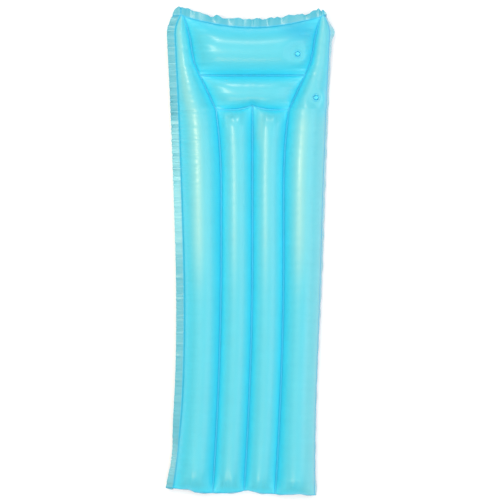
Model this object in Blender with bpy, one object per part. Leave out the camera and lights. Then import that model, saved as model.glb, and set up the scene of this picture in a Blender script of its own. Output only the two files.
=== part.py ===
"""Pool air mattress, blown up and lying on its underside.

Two sheets of vinyl film are welded together along a rim and along inner weld lines. The body
chamber is four tubes, of which the outer two run on into horns at the head corners. Between
the horns lies a pillow chamber with a narrow tube and a wide one. Each chamber has a stem valve
in the top sheet: a flange under the film, a soft web, a neck that pushes in and pulls out, a
check flap at its inner end and a stopper cap on a strap. X runs across, +Y to the head, +Z up.
"""

import math

import bmesh
import bpy
from mathutils import Vector

for startup_object in list(bpy.data.objects):
    bpy.data.objects.remove(startup_object, do_unlink=True)

MM = 0.001

# Film and welds
FILM = 0.25 * MM
WELD_CLEARANCE = 0.3 * MM
WELD_WIDTH = 5 * MM
FLANGE_WIDTH = 32 * MM

# Plan of the side seams, from the foot to the head
FOOT_SEAM_Y = -874 * MM
WAIST_Y = -474 * MM
HEAD_SEAM_Y = 818 * MM
HEAD_RISE = 45 * MM
FOOT_HALF_WIDTH = 260 * MM
WAIST_HALF_WIDTH = 245 * MM
HEAD_HALF_WIDTH = 285 * MM
SIDE_CURVE = 1.6
CORNER_START_Y = 790 * MM
CORNER_TUCK = 24 * MM
SWAY_START_Y = 0.0
FOOT_SWAY = 31 * MM

# Inner weld lines
TUBE_WELD_X = 115 * MM
SPREAD_START_Y = 230 * MM
PILLOW_FOOT_Y = 518 * MM
PILLOW_MIDDLE_Y = 644 * MM
PILLOW_FOOT_HALF_WIDTH = 134 * MM
PILLOW_HEAD_HALF_WIDTH = 252 * MM
DIAGONAL_SHAPE = ((0.0, 0.0), (0.32, 0.44), (0.50, 0.68), (0.74, 0.80), (1.0, 1.0))
CUSP_HEIGHT = 16 * MM
CUSP_REACH = 30 * MM
CUSP_SHARPNESS = 1.3
AIR_GAP = 38 * MM

# Swelling: half thickness as a share of a tube's width, and how tubes close at their ends
SIDE_FULLNESS = 0.31
INNER_FULLNESS = 0.31
PILLOW_FULLNESS = 0.285
ROUNDNESS = 2.2
EDGE_POWER = 0.6
TUBE_END = 70 * MM
PILLOW_END = 110 * MM
AIR_GAP_FULLNESS = 0.2

# How far each flange hangs down from its seam
FLANGE_DROOP_LEFT = math.radians(14)
FLANGE_DROOP_RIGHT = math.radians(80)
FLANGE_DROOP_HEAD = math.radians(12)
FLANGE_DROOP_FOOT = math.radians(80)

# Stem valves, with the film's inner side at their height zero
VALVE_SIDES = 24
PIECE_CLEARANCE = 0.3 * MM
VALVE_HOLE_RADIUS = 11.6 * MM
VALVE_FLANGE_RADIUS = 16.5 * MM
VALVE_FLANGE_THICKNESS = 0.8 * MM
WEB_THICKNESS = 0.4 * MM
WEB_NARROWING = 1.0 * MM
NECK_RADIUS = 6.0 * MM
NECK_BORE_RADIUS = 4.2 * MM
NECK_LENGTH = 15.0 * MM
NECK_RECESS = 0.4 * MM
NECK_FOOT_THICKNESS = 1.2 * MM
NECK_LUG_THICKNESS = 1.2 * MM
CAP_RADIUS = 6.6 * MM
CAP_THICKNESS = 1.6 * MM
CAP_RIM_BEVEL = 0.35 * MM
STOPPER_RADIUS = 3.95 * MM
STOPPER_TIP_RADIUS = 3.55 * MM
STOPPER_LENGTH = 3.5 * MM
PULL_TAB_REACH = 2.2 * MM
PULL_TAB_WIDTH = 5.0 * MM
STRAP_WIDTH = 5.0 * MM
STRAP_THICKNESS = 0.8 * MM
KNUCKLE_RADIUS = 0.7 * MM
KNUCKLE_OFFSET = 1.4 * MM
FLAP_RADIUS = 5.0 * MM
FLAP_THICKNESS = 0.6 * MM
FLAP_HINGE_WIDTH = 4.0 * MM
FLAP_HINGE_REACH = 1.2 * MM
FLAP_HINGE_THICKNESS = 0.45 * MM

# Where the film's grid has its lines, as shares of what they divide
SIDE_STEPS = (-1.0, -0.75, -0.35, 0.0, 0.62, 0.87, 1.0)
SIDE_REST_STEP = 0.35
INNER_STEPS = (-1.0, -0.5, 0.0, 0.5, 1.0)
INNER_REST_STEP = 0.5
PILLOW_STEPS = (-1.0, -0.4, 0.25, 0.8, 1.0)
FOOT_END_STEPS = (0.17, 0.5, 1.0)
BODY_ROWS = 4
HEAD_END_STEP = 0.27
HEAD_END_CUSP = 0.7
LOWER_PILLOW_STEPS = (0.15, 0.5, 0.85)
LOWER_PILLOW_CUSPS = (0.6, 0.0, 0.0)
UPPER_PILLOW_STEPS = (0.2, 0.55, 0.87)


def blend(a, b, share):
    """The value the given share of the way from a to b."""
    return a + (b - a) * share


def smooth(low, high, value):
    """0 below low, 1 above high, and an even ramp with soft ends between."""
    share = min(1.0, max(0.0, (value - low) / (high - low)))
    return share * share * (3 - 2 * share)


def swell(step):
    """Height of a blown-up tube's section, from 0 at its welds (step -1 and 1) to 1."""
    return max(0.0, 1 - abs(step) ** ROUNDNESS) ** EDGE_POWER


def closing(distance, reach):
    """How a tube rises from the weld that ends it, from 0 to 1 within its reach."""
    return swell(1 - min(1.0, max(0.0, distance) / reach))


def seam_x(y):
    """Distance from the centre line to the side seam."""
    if y < WAIST_Y:
        share = (WAIST_Y - y) / (WAIST_Y - FOOT_SEAM_Y)
        return blend(WAIST_HALF_WIDTH, FOOT_HALF_WIDTH, share**2)
    share = (y - WAIST_Y) / (HEAD_SEAM_Y - WAIST_Y)
    tip = HEAD_SEAM_Y + HEAD_RISE - CORNER_START_Y
    tuck = max(0.0, (y - CORNER_START_Y) / tip) ** 2
    return blend(WAIST_HALF_WIDTH, HEAD_HALF_WIDTH, share**SIDE_CURVE) - CORNER_TUCK * tuck


def weld_x(y):
    """Distance from the centre line to the weld between the outer and the inner tubes."""
    if y < PILLOW_FOOT_Y:
        share = max(0.0, (y - SPREAD_START_Y) / (PILLOW_FOOT_Y - SPREAD_START_Y))
        return blend(TUBE_WELD_X, PILLOW_FOOT_HALF_WIDTH, share**2)
    share = min(1.0, (y - PILLOW_FOOT_Y) / (HEAD_SEAM_Y + HEAD_RISE - PILLOW_FOOT_Y))
    for (low, low_x), (high, high_x) in zip(DIAGONAL_SHAPE, DIAGONAL_SHAPE[1:]):
        if share <= high:
            across = blend(low_x, high_x, (share - low) / (high - low))
            return blend(PILLOW_FOOT_HALF_WIDTH, PILLOW_HEAD_HALF_WIDTH, across)
    return PILLOW_HEAD_HALF_WIDTH


def sway(y):
    """The gentle bend of the blown-up body to the left, towards its foot."""
    share = max(0.0, (SWAY_START_Y - y) / (SWAY_START_Y - FOOT_SEAM_Y))
    return -FOOT_SWAY * share**2


def film_rows():
    """The grid's lines across the mattress: y on the centre line and shares of rise and cusp."""
    end_row = PILLOW_FOOT_Y - WELD_WIDTH / 2
    body_low = FOOT_SEAM_Y + TUBE_END
    body_high = PILLOW_FOOT_Y - TUBE_END
    rows = [(FOOT_SEAM_Y, 0.0, 0.0)]
    rows += [(FOOT_SEAM_Y + TUBE_END * step, 0.0, 0.0) for step in FOOT_END_STEPS]
    for number in range(1, BODY_ROWS + 1):
        rows.append((blend(body_low, body_high, number / BODY_ROWS), 0.0, 0.0))
    rows.append((blend(end_row, body_high, HEAD_END_STEP), 0.0, HEAD_END_CUSP))
    rows.append((end_row, 0.0, 1.0))
    low, high = PILLOW_FOOT_Y + WELD_WIDTH / 2, PILLOW_MIDDLE_Y - WELD_WIDTH / 2
    rows.append((low, 0.0, 1.0))
    for step, cusp in zip(LOWER_PILLOW_STEPS, LOWER_PILLOW_CUSPS):
        rows.append((blend(low, high, step), 0.0, cusp))
    rows.append((high, 0.0, 0.0))
    low = PILLOW_MIDDLE_Y + WELD_WIDTH / 2
    rows.append((low, 0.0, 0.0))
    rows += [(blend(low, HEAD_SEAM_Y, step), step, 0.0) for step in UPPER_PILLOW_STEPS]
    rows.append((HEAD_SEAM_Y, 1.0, 0.0))
    return rows


def film_columns():
    """The grid's lines along the mattress, left to right: the side, the tube and the step in it."""
    right = [("inner", number) for number in range(len(INNER_STEPS))]
    right += [("side", number) for number in range(len(SIDE_STEPS))]
    return [(-1, *column) for column in reversed(right)] + [(1, *column) for column in right]


def column_x(tube, number, y):
    """Distance from the centre line to a column, where the row lies at y."""
    weld = weld_x(y)
    if tube == "inner":
        to_pillow = smooth(PILLOW_FOOT_Y, PILLOW_MIDDLE_Y, y)
        step = blend(INNER_STEPS[number], PILLOW_STEPS[number], to_pillow)
        return blend(WELD_WIDTH / 2, weld - WELD_WIDTH / 2, (step + 1) / 2)
    return blend(weld + WELD_WIDTH / 2, seam_x(y), (SIDE_STEPS[number] + 1) / 2)


def side_fullness(y):
    """Half thickness of an outer tube or horn at its crown."""
    return SIDE_FULLNESS * (seam_x(y) - weld_x(y) - WELD_WIDTH / 2)


def inner_fullness(y):
    """Half thickness of an inner tube at its crown."""
    return INNER_FULLNESS * (weld_x(y) - WELD_WIDTH)


def pillow_fullness(low, high):
    """Half thickness at the crown of the pillow tube between two rows."""
    return PILLOW_FULLNESS * (high - low)


def half_thickness(tube, number, row, x, y, head_y):
    """Half the distance between the two sheets at one point of the grid."""
    from_foot = closing(y - FOOT_SEAM_Y, TUBE_END)
    from_head = closing(head_y - y, TUBE_END / 2)
    foot_leak = AIR_GAP_FULLNESS if y - FOOT_SEAM_Y < AIR_GAP else 0.0
    if tube == "side":
        step = SIDE_STEPS[number]
        height = max(swell(step), foot_leak if step == -1 else 0.0)
        return side_fullness(y) * height * from_foot * from_head
    middle_low, middle_high = PILLOW_MIDDLE_Y - WELD_WIDTH / 2, PILLOW_MIDDLE_Y + WELD_WIDTH / 2
    if row < PILLOW_FOOT_Y:
        height = max(swell(INNER_STEPS[number]), foot_leak)
        to_pillow = closing(PILLOW_FOOT_Y - WELD_WIDTH / 2 - row, TUBE_END)
        return inner_fullness(y) * height * from_foot * to_pillow
    end = closing(weld_x(y) - WELD_WIDTH / 2 - x, PILLOW_END)
    lower = pillow_fullness(PILLOW_FOOT_Y, PILLOW_MIDDLE_Y)
    upper = pillow_fullness(PILLOW_MIDDLE_Y, HEAD_SEAM_Y)
    if middle_low - FILM < row < middle_high + FILM:
        beside_weld = PILLOW_STEPS[number] == PILLOW_STEPS[-2]
        return AIR_GAP_FULLNESS * lower * end if beside_weld else 0.0
    if row < middle_low:
        low = PILLOW_FOOT_Y + WELD_WIDTH / 2
        return lower * end * swell(2 * (row - low) / (middle_low - low) - 1)
    share = (y - middle_high) / (head_y - middle_high)
    return upper * end * swell(2 * share - 1)


def middle_height(tube, y):
    """Height of the welds' level over the floor, on which each tube rests between its rest steps."""
    seat = WELD_CLEARANCE / 2 + FILM
    lower = pillow_fullness(PILLOW_FOOT_Y, PILLOW_MIDDLE_Y) + seat
    upper = pillow_fullness(PILLOW_MIDDLE_Y, HEAD_SEAM_Y) + seat
    upper_crown_y = blend(PILLOW_MIDDLE_Y, HEAD_SEAM_Y, 0.5)
    lower_crown_y = blend(PILLOW_FOOT_Y, PILLOW_MIDDLE_Y, 0.5)
    pillow = blend(lower, upper, smooth(lower_crown_y, upper_crown_y, y))
    if tube == "side":
        body = side_fullness(min(y, PILLOW_FOOT_Y)) * swell(SIDE_REST_STEP) + seat
    else:
        body = inner_fullness(min(y, PILLOW_FOOT_Y)) * swell(INNER_REST_STEP) + seat
    return blend(body, pillow, smooth(SPREAD_START_Y, lower_crown_y, y))


def film_grid():
    """Points of the welds' level and the half thickness on them, row by row, with no flanges."""
    points, halves = [], []
    for row, rise, cusp in film_rows():
        point_row, half_row = [], []
        for side, tube, number in film_columns():
            to_corner = min(1.0, column_x(tube, number, row) / PILLOW_HEAD_HALF_WIDTH)
            head_y = HEAD_SEAM_Y + HEAD_RISE * to_corner**2
            y = row + rise * (head_y - HEAD_SEAM_Y)
            x = column_x(tube, number, y)
            half = half_thickness(tube, number, row, x, y, head_y)
            height = middle_height(tube, y)
            if tube == "side" and number == 0 or tube == "inner" and number == len(INNER_STEPS) - 1:
                height = blend(middle_height("side", y), middle_height("inner", y), 0.5)
            if tube == "inner":
                y += cusp * CUSP_HEIGHT * math.exp(-((x / CUSP_REACH) ** CUSP_SHARPNESS))
            point_row.append(Vector((side * x + sway(y), y, height)))
            half_row.append(half)
        points.append(point_row)
        halves.append(half_row)
    return points, halves


def with_flanges(points, halves):
    """The same grid with the unfilled flange added all round."""

    def hanging(outward, droop):
        return FLANGE_WIDTH * (math.cos(droop) * outward - math.sin(droop) * Vector((0, 0, 1)))

    left = hanging(Vector((-1, 0, 0)), FLANGE_DROOP_LEFT)
    right = hanging(Vector((1, 0, 0)), FLANGE_DROOP_RIGHT)
    foot = hanging(Vector((0, -1, 0)), FLANGE_DROOP_FOOT)
    head = hanging(Vector((0, 1, 0)), FLANGE_DROOP_HEAD)

    def edge_row(row, end):
        corner_fall = Vector((1, 1, 0))
        inside = [point + end for point in row]
        first = row[0] + left + end * corner_fall
        last = row[-1] + right * corner_fall + end
        return [first, *inside, last]

    rows = [[row[0] + left, *row, row[-1] + right] for row in points]
    rows = [edge_row(points[0], foot), *rows, edge_row(points[-1], head)]
    widened = [[0.0, *row, 0.0] for row in halves]
    unfilled = [0.0] * len(widened[0])
    return rows, [unfilled, *widened, unfilled]


def grid_normal(points, i, j):
    """Unit normal of the welds' level at one point of its grid."""
    last_i, last_j = len(points) - 1, len(points[0]) - 1
    along = points[min(i + 1, last_i)][j] - points[max(i - 1, 0)][j]
    across = points[i][min(j + 1, last_j)] - points[i][max(j - 1, 0)]
    return across.cross(along).normalized()


def film_points(facing):
    """The sheet's side that faces the air, as rows of points; facing is 1 for the top sheet."""
    points, halves = with_flanges(*film_grid())
    sheet = []
    for i, row in enumerate(points):
        sheet.append([])
        for j, point in enumerate(row):
            clear = grid_normal(points, i, j) * WELD_CLEARANCE / 2
            placed = point + facing * (clear + Vector((0, 0, halves[i][j])))
            placed.z = max(placed.z, FILM)
            sheet[i].append(placed)
    return sheet


def seat_corners(column, row_step, pillow_steps):
    """Grid indices of the four corners of the flat seat that a valve's flange is welded to."""
    first_row = ROW_NUMBERS[(pillow_steps, row_step)]
    return [(first_row + i, column + j) for i in (0, 1) for j in (0, 1)]


def flatten_seat(sheet, corners):
    """Levels a valve's seat, and returns its middle."""
    middle = sum((sheet[i][j] for i, j in corners), Vector()) / len(corners)
    for i, j in corners:
        sheet[i][j].z = middle.z
    return middle


def material(name, colour, roughness, alpha=1.0):
    """A plain Principled material."""
    made = bpy.data.materials.new(name)
    made.use_nodes = True
    shader = made.node_tree.nodes["Principled BSDF"]
    shader.inputs["Base Color"].default_value = (*colour, 1.0)
    shader.inputs["Roughness"].default_value = roughness
    shader.inputs["Alpha"].default_value = alpha
    made.diffuse_color = (*colour, alpha)
    return made


def new_object(name, mesh, parent, finish):
    """Links a mesh as a node of the part."""
    obj = bpy.data.objects.new(name, mesh)
    bpy.context.scene.collection.objects.link(obj)
    obj.parent = parent
    mesh.materials.append(finish)
    return obj


def film_sheet(name, sheet, facing, finish):
    """One sheet of film: the side that faces the air, thickened away from it."""
    mesh = bpy.data.meshes.new(name)
    shape = bmesh.new()
    corners = [[shape.verts.new(point) for point in row] for row in sheet]
    for low, high in zip(corners, corners[1:]):
        for j in range(len(low) - 1):
            for around in ((low[j], low[j + 1], high[j + 1]), (low[j], high[j + 1], high[j])):
                shape.faces.new(around if facing > 0 else around[::-1])
    shape.to_mesh(mesh)
    shape.free()
    mesh.shade_smooth()
    obj = new_object(name, mesh, mattress, finish)
    thickness = obj.modifiers.new("film thickness", "SOLIDIFY")
    thickness.thickness = FILM
    thickness.offset = 1
    return obj


def turned(name, profile, parent, finish):
    """A solid of revolution about Z, from the closed outline of its section as (radius, z)."""
    mesh = bpy.data.meshes.new(name)
    shape = bmesh.new()
    section = [shape.verts.new((radius, 0, z)) for radius, z in profile]
    edges = [shape.edges.new(ends) for ends in zip(section, section[1:] + section[:1])]
    bmesh.ops.spin(
        shape,
        geom=section + edges,
        cent=(0, 0, 0),
        axis=(0, 0, 1),
        angle=math.tau,
        steps=VALVE_SIDES,
        use_merge=True,
    )
    bmesh.ops.remove_doubles(shape, verts=shape.verts, dist=0.001 * MM)
    bmesh.ops.recalc_face_normals(shape, faces=shape.faces)
    shape.to_mesh(mesh)
    shape.free()
    mesh.shade_smooth()
    mesh.set_sharp_from_angle(angle=math.radians(40))
    return new_object(name, mesh, parent, finish)


def disc(shape, radius, thickness, bottom):
    """Adds an upright cylinder, standing at the height bottom, to a bmesh."""
    made = bmesh.ops.create_cone(
        shape, cap_ends=True, segments=VALVE_SIDES, radius1=radius, radius2=radius, depth=thickness
    )
    bmesh.ops.translate(shape, verts=made["verts"], vec=(0, 0, bottom + thickness / 2))


def block(shape, low, high):
    """Adds a box between two corners to a bmesh."""
    made = bmesh.ops.create_cube(shape, size=1)
    size = [b - a for a, b in zip(low, high)]
    centre = [(a + b) / 2 for a, b in zip(low, high)]
    bmesh.ops.scale(shape, verts=made["verts"], vec=size)
    bmesh.ops.translate(shape, verts=made["verts"], vec=centre)


def helper(name, shape, parent):
    """An object that only serves a Boolean, drawn as a wire and left out of the render."""
    mesh = bpy.data.meshes.new(name)
    bmesh.ops.recalc_face_normals(shape, faces=shape.faces)
    shape.to_mesh(mesh)
    shape.free()
    obj = bpy.data.objects.new(name, mesh)
    bpy.context.scene.collection.objects.link(obj)
    obj.parent = parent
    obj.hide_render = True
    obj.display_type = "WIRE"
    return obj


def boolean(obj, other, operation):
    """Joins or cuts an object with a helper."""
    cut = obj.modifiers.new(other.name, "BOOLEAN")
    cut.operation = operation
    cut.object = other


def stem_valve(prefix, seat, film, finish):
    """A stem valve pushed in flush, on the seat whose middle is given, through a hole in the film."""
    base = bpy.data.objects.new(prefix + "_seat", None)
    bpy.context.scene.collection.objects.link(base)
    base.parent = mattress
    base.location = seat

    shape = bmesh.new()
    disc(shape, VALVE_HOLE_RADIUS, VALVE_HOLE_RADIUS, -VALVE_HOLE_RADIUS / 2)
    boolean(film, helper(prefix + "_hole", shape, base), "DIFFERENCE")

    # The flange is welded to the underside of the film round the hole.
    flange_top = -WELD_CLEARANCE
    flange_low = flange_top - VALVE_FLANGE_THICKNESS
    flange_bore = VALVE_HOLE_RADIUS - PIECE_CLEARANCE
    outline = [
        (flange_bore, flange_low),
        (VALVE_FLANGE_RADIUS, flange_low),
        (VALVE_FLANGE_RADIUS, flange_top),
        (flange_bore, flange_top),
    ]
    turned(prefix + "_flange", outline, base, finish)

    # The neck stands on its foot, which the web holds at the bottom of the pocket.
    neck_top = -NECK_RECESS
    neck_low = neck_top - NECK_LENGTH
    web_top = flange_bore - PIECE_CLEARANCE
    web_foot = web_top - WEB_NARROWING
    foot_radius = web_foot - WEB_THICKNESS - PIECE_CLEARANCE
    outline = [
        (NECK_BORE_RADIUS, neck_low),
        (foot_radius, neck_low),
        (foot_radius, neck_low + NECK_FOOT_THICKNESS),
        (NECK_RADIUS, neck_low + NECK_FOOT_THICKNESS),
        (NECK_RADIUS, neck_top),
        (NECK_BORE_RADIUS, neck_top),
    ]
    neck = turned(prefix + "_neck", outline, base, finish)
    outline = [
        (web_foot, neck_low),
        (web_top, flange_top),
        (web_top - WEB_THICKNESS, flange_top),
        (web_foot - WEB_THICKNESS, neck_low),
    ]
    turned(prefix + "_web", outline, base, finish)

    # The cap's strap folds at a knuckle over a lug on the neck.
    cap_low = neck_top + PIECE_CLEARANCE
    hinge = Vector((-CAP_RADIUS - KNUCKLE_OFFSET, 0, cap_low - PIECE_CLEARANCE / 2))
    lug_top = hinge.z - KNUCKLE_RADIUS - PIECE_CLEARANCE
    shape = bmesh.new()
    lug_outer = hinge.x - KNUCKLE_RADIUS
    lug_inner = -blend(NECK_BORE_RADIUS, NECK_RADIUS, 0.6)
    low = (lug_outer, -STRAP_WIDTH / 2, lug_top - NECK_LUG_THICKNESS)
    block(shape, low, (lug_inner, STRAP_WIDTH / 2, lug_top))
    boolean(neck, helper(prefix + "_lug", shape, base), "UNION")

    pivot = bpy.data.objects.new(prefix + "_cap_hinge", None)
    bpy.context.scene.collection.objects.link(pivot)
    pivot.parent = base
    pivot.location = hinge
    centre_line = bpy.data.objects.new(prefix + "_cap_centre", None)
    bpy.context.scene.collection.objects.link(centre_line)
    centre_line.parent = pivot
    centre_line.location = -hinge
    cap_top = cap_low + CAP_THICKNESS
    outline = [
        (0, cap_low - STOPPER_LENGTH),
        (STOPPER_TIP_RADIUS, cap_low - STOPPER_LENGTH),
        (STOPPER_RADIUS, cap_low),
        (CAP_RADIUS, cap_low),
        (CAP_RADIUS, cap_top - CAP_RIM_BEVEL),
        (CAP_RADIUS - CAP_RIM_BEVEL, cap_top),
        (0, cap_top),
    ]
    plug = turned(prefix + "_plug", outline, centre_line, finish)
    shape = bmesh.new()
    low = (hinge.x, -STRAP_WIDTH / 2, cap_low)
    block(shape, low, (-CAP_RADIUS / 2, STRAP_WIDTH / 2, cap_low + STRAP_THICKNESS))
    boolean(plug, helper(prefix + "_strap", shape, centre_line), "UNION")
    shape = bmesh.new()
    knuckle = bmesh.ops.create_cone(
        shape,
        cap_ends=True,
        segments=VALVE_SIDES // 2,
        radius1=KNUCKLE_RADIUS,
        radius2=KNUCKLE_RADIUS,
        depth=STRAP_WIDTH - 2 * CAP_RIM_BEVEL,
    )
    for vertex in knuckle["verts"]:
        across, up, along = vertex.co
        vertex.co = (across + hinge.x, along, up + hinge.z)
    boolean(plug, helper(prefix + "_knuckle", shape, centre_line), "UNION")
    shape = bmesh.new()
    low = (CAP_RADIUS / 2, -PULL_TAB_WIDTH / 2, cap_low + CAP_RIM_BEVEL)
    high = (CAP_RADIUS + PULL_TAB_REACH, PULL_TAB_WIDTH / 2, cap_top - CAP_RIM_BEVEL)
    block(shape, low, high)
    boolean(plug, helper(prefix + "_tab", shape, centre_line), "UNION")

    # The flap shuts the neck's inner end and swings into the chamber.
    flap_top = neck_low - PIECE_CLEARANCE
    shape = bmesh.new()
    disc(shape, FLAP_RADIUS, FLAP_THICKNESS, flap_top - FLAP_THICKNESS)
    mesh = bpy.data.meshes.new(prefix + "_flap")
    shape.to_mesh(mesh)
    shape.free()
    fold = bpy.data.objects.new(prefix + "_flap_hinge", None)
    bpy.context.scene.collection.objects.link(fold)
    fold.parent = base
    fold.location = (FLAP_RADIUS + FLAP_HINGE_REACH, 0, flap_top - FLAP_THICKNESS / 2)
    flap = new_object(prefix + "_flap", mesh, fold, finish)
    flap.location = -fold.location
    shape = bmesh.new()
    flap_middle = flap_top - FLAP_THICKNESS / 2
    low = (FLAP_RADIUS / 2, -FLAP_HINGE_WIDTH / 2, flap_middle - FLAP_HINGE_THICKNESS / 2)
    high = (fold.location.x, FLAP_HINGE_WIDTH / 2, flap_middle + FLAP_HINGE_THICKNESS / 2)
    block(shape, low, high)
    hinge_strip = helper(prefix + "_flap_strip", shape, fold)
    hinge_strip.location = -fold.location
    boolean(flap, hinge_strip, "UNION")


# Row numbers of the pillow tubes' lines in the grid with flanges, for the valve seats
row_heights = [round(row[0], 9) for row in film_rows()]
ROW_NUMBERS = {}
for steps, low, high in (
    (LOWER_PILLOW_STEPS, PILLOW_FOOT_Y + WELD_WIDTH / 2, PILLOW_MIDDLE_Y - WELD_WIDTH / 2),
    (UPPER_PILLOW_STEPS, PILLOW_MIDDLE_Y + WELD_WIDTH / 2, HEAD_SEAM_Y),
):
    for step in steps:
        ROW_NUMBERS[(steps, step)] = 1 + row_heights.index(round(blend(low, high, step), 9))

mattress = bpy.data.objects.new("mattress", None)
bpy.context.scene.collection.objects.link(mattress)

film_blue = material("film blue", (0.07, 0.62, 0.80), 0.18, 0.85)
valve_blue = material("valve blue", (0.04, 0.42, 0.66), 0.35)

top = film_points(1)
bottom = film_points(-1)
right_columns = 1 + len(film_columns()) // 2
body_column = right_columns + len(INNER_STEPS) + SIDE_STEPS.index(0.0)
pillow_column = right_columns + len(PILLOW_STEPS) - 3
body_seat = seat_corners(body_column, LOWER_PILLOW_STEPS[0], LOWER_PILLOW_STEPS)
pillow_seat = seat_corners(pillow_column, UPPER_PILLOW_STEPS[0], UPPER_PILLOW_STEPS)
body_middle = flatten_seat(top, body_seat)
pillow_middle = flatten_seat(top, pillow_seat)

top_sheet = film_sheet("top_sheet", top, 1, film_blue)
bottom_sheet = film_sheet("bottom_sheet", bottom, -1, film_blue)
stem_valve("body_valve", body_middle, top_sheet, valve_blue)
stem_valve("pillow_valve", pillow_middle, top_sheet, valve_blue)

# The origin is under the middle of the mattress, on the floor.
every_point = [point for sheet in (top, bottom) for row in sheet for point in row]
lowest = [min(point[axis] for point in every_point) for axis in range(3)]
highest = [max(point[axis] for point in every_point) for axis in range(3)]
middle = [blend(low, high, 0.5) for low, high in zip(lowest, highest)]
mattress.location = (-middle[0], -middle[1], FILM - lowest[2])
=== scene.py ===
"""Pool air mattress of clear blue vinyl film, blown up, seen from straight above on a pale floor."""

import math

import bpy
import numpy as np
from mathutils import Matrix, Vector


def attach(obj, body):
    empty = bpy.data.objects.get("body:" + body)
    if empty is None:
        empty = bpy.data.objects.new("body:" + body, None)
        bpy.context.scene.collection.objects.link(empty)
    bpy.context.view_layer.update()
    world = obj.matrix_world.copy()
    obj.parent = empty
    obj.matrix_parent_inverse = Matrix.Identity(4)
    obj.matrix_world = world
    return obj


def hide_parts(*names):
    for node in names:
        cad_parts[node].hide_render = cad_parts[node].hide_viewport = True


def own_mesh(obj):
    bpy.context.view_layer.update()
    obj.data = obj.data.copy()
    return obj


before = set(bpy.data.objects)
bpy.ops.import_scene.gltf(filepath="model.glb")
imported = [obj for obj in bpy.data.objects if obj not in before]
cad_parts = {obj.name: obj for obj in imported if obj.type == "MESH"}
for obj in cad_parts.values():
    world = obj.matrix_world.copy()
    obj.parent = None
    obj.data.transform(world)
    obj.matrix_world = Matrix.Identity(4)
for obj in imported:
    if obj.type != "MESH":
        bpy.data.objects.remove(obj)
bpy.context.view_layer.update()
scene = bpy.context.scene
scene.view_settings.view_transform = "Standard"


# Floor
# A plain pale studio floor of matt card. It takes the soft shadow under the
# rim, and the camera sees it near white.

bpy.ops.object.select_all(action="DESELECT")
bpy.ops.mesh.primitive_plane_add(size=14, location=(0, 0, 0))
floor = bpy.context.object
floor.name = "floor"
bpy.ops.object.transform_apply(location=True)
card = bpy.data.materials.new("pale card")
card.use_nodes = True
nodes, links = card.node_tree.nodes, card.node_tree.links
shader = nodes["Principled BSDF"]
shader.inputs["Base Color"].default_value = (0.68, 0.71, 0.75, 1)
shader.inputs["Roughness"].default_value = 0.9
shader.inputs["Specular IOR Level"].default_value = 0.1
light_path = nodes.new("ShaderNodeLightPath")
camera_or_gloss = nodes.new("ShaderNodeMath")
camera_or_gloss.operation = "MAXIMUM"
links.new(light_path.outputs["Is Camera Ray"], camera_or_gloss.inputs[0])
links.new(light_path.outputs["Is Glossy Ray"], camera_or_gloss.inputs[1])
seen = nodes.new("ShaderNodeMath")
seen.operation = "MAXIMUM"
links.new(camera_or_gloss.outputs[0], seen.inputs[0])
links.new(light_path.outputs["Is Transmission Ray"], seen.inputs[1])
lift = nodes.new("ShaderNodeMath")
lift.operation = "MULTIPLY"
lift.inputs[1].default_value = 0.30
links.new(seen.outputs[0], lift.inputs[0])
shader.inputs["Emission Color"].default_value = (1, 1, 1, 1)
links.new(lift.outputs[0], shader.inputs["Emission Strength"])
floor.data.materials.append(card)


# Camera and light
# The photograph looks straight down on the mattress through a long lens. Four
# warm lamps along the left, from the head to the foot, draw the streaks on the
# crowns, a wide lamp on the right softens them, and a grey sky fills in.

CAMERA_HEIGHT = 6.0
PICTURE_WIDTH = 1.83
CROWN_LEVEL = 0.07

camera = bpy.data.objects.new("camera", bpy.data.cameras.new("camera"))
scene.collection.objects.link(camera)
camera.location = (0.0079, -0.0055, CAMERA_HEIGHT)
camera.data.sensor_width = 36
camera.data.lens = 36 * (CAMERA_HEIGHT - CROWN_LEVEL) / PICTURE_WIDTH
camera.data.clip_end = 60
scene.camera = camera


def soft_lamp(name, place, aim, width, length, power, tone=(1.0, 0.62, 0.14)):
    """A rectangular soft lamp that shines from its place to its aim."""
    lamp = bpy.data.lights.new(name, "AREA")
    lamp.shape = "RECTANGLE"
    lamp.size, lamp.size_y = width, length
    lamp.energy = power
    lamp.color = tone
    holder = bpy.data.objects.new(name, lamp)
    scene.collection.objects.link(holder)
    holder.location = place
    holder.rotation_mode = "QUATERNION"
    holder.rotation_quaternion = (Vector(aim) - Vector(place)).to_track_quat("-Z", "Y")
    holder.visible_camera = False


soft_lamp("head lamp", (-0.34, 2.65, 2.5), (0, 0.6, 0), 0.34, 0.28, 17, (1.0, 0.78, 0.50))
soft_lamp("strip lamp", (-0.84, 0.48, 2.5), (0, 0.3, 0), 0.90, 1.05, 11.5)
soft_lamp("key lamp", (-1.05, 0.64, 2.5), (0, 0.4, 0), 0.30, 0.22, 9, (1.0, 0.85, 0.60))
soft_lamp("foot lamp", (-0.45, -1.80, 2.5), (0, -0.8, 0), 1.4, 0.9, 16)
soft_lamp("side lamp", (1.9, -0.1, 2.4), (0, 0, 0), 3.0, 1.8, 19, (1.0, 0.93, 0.86))

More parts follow.
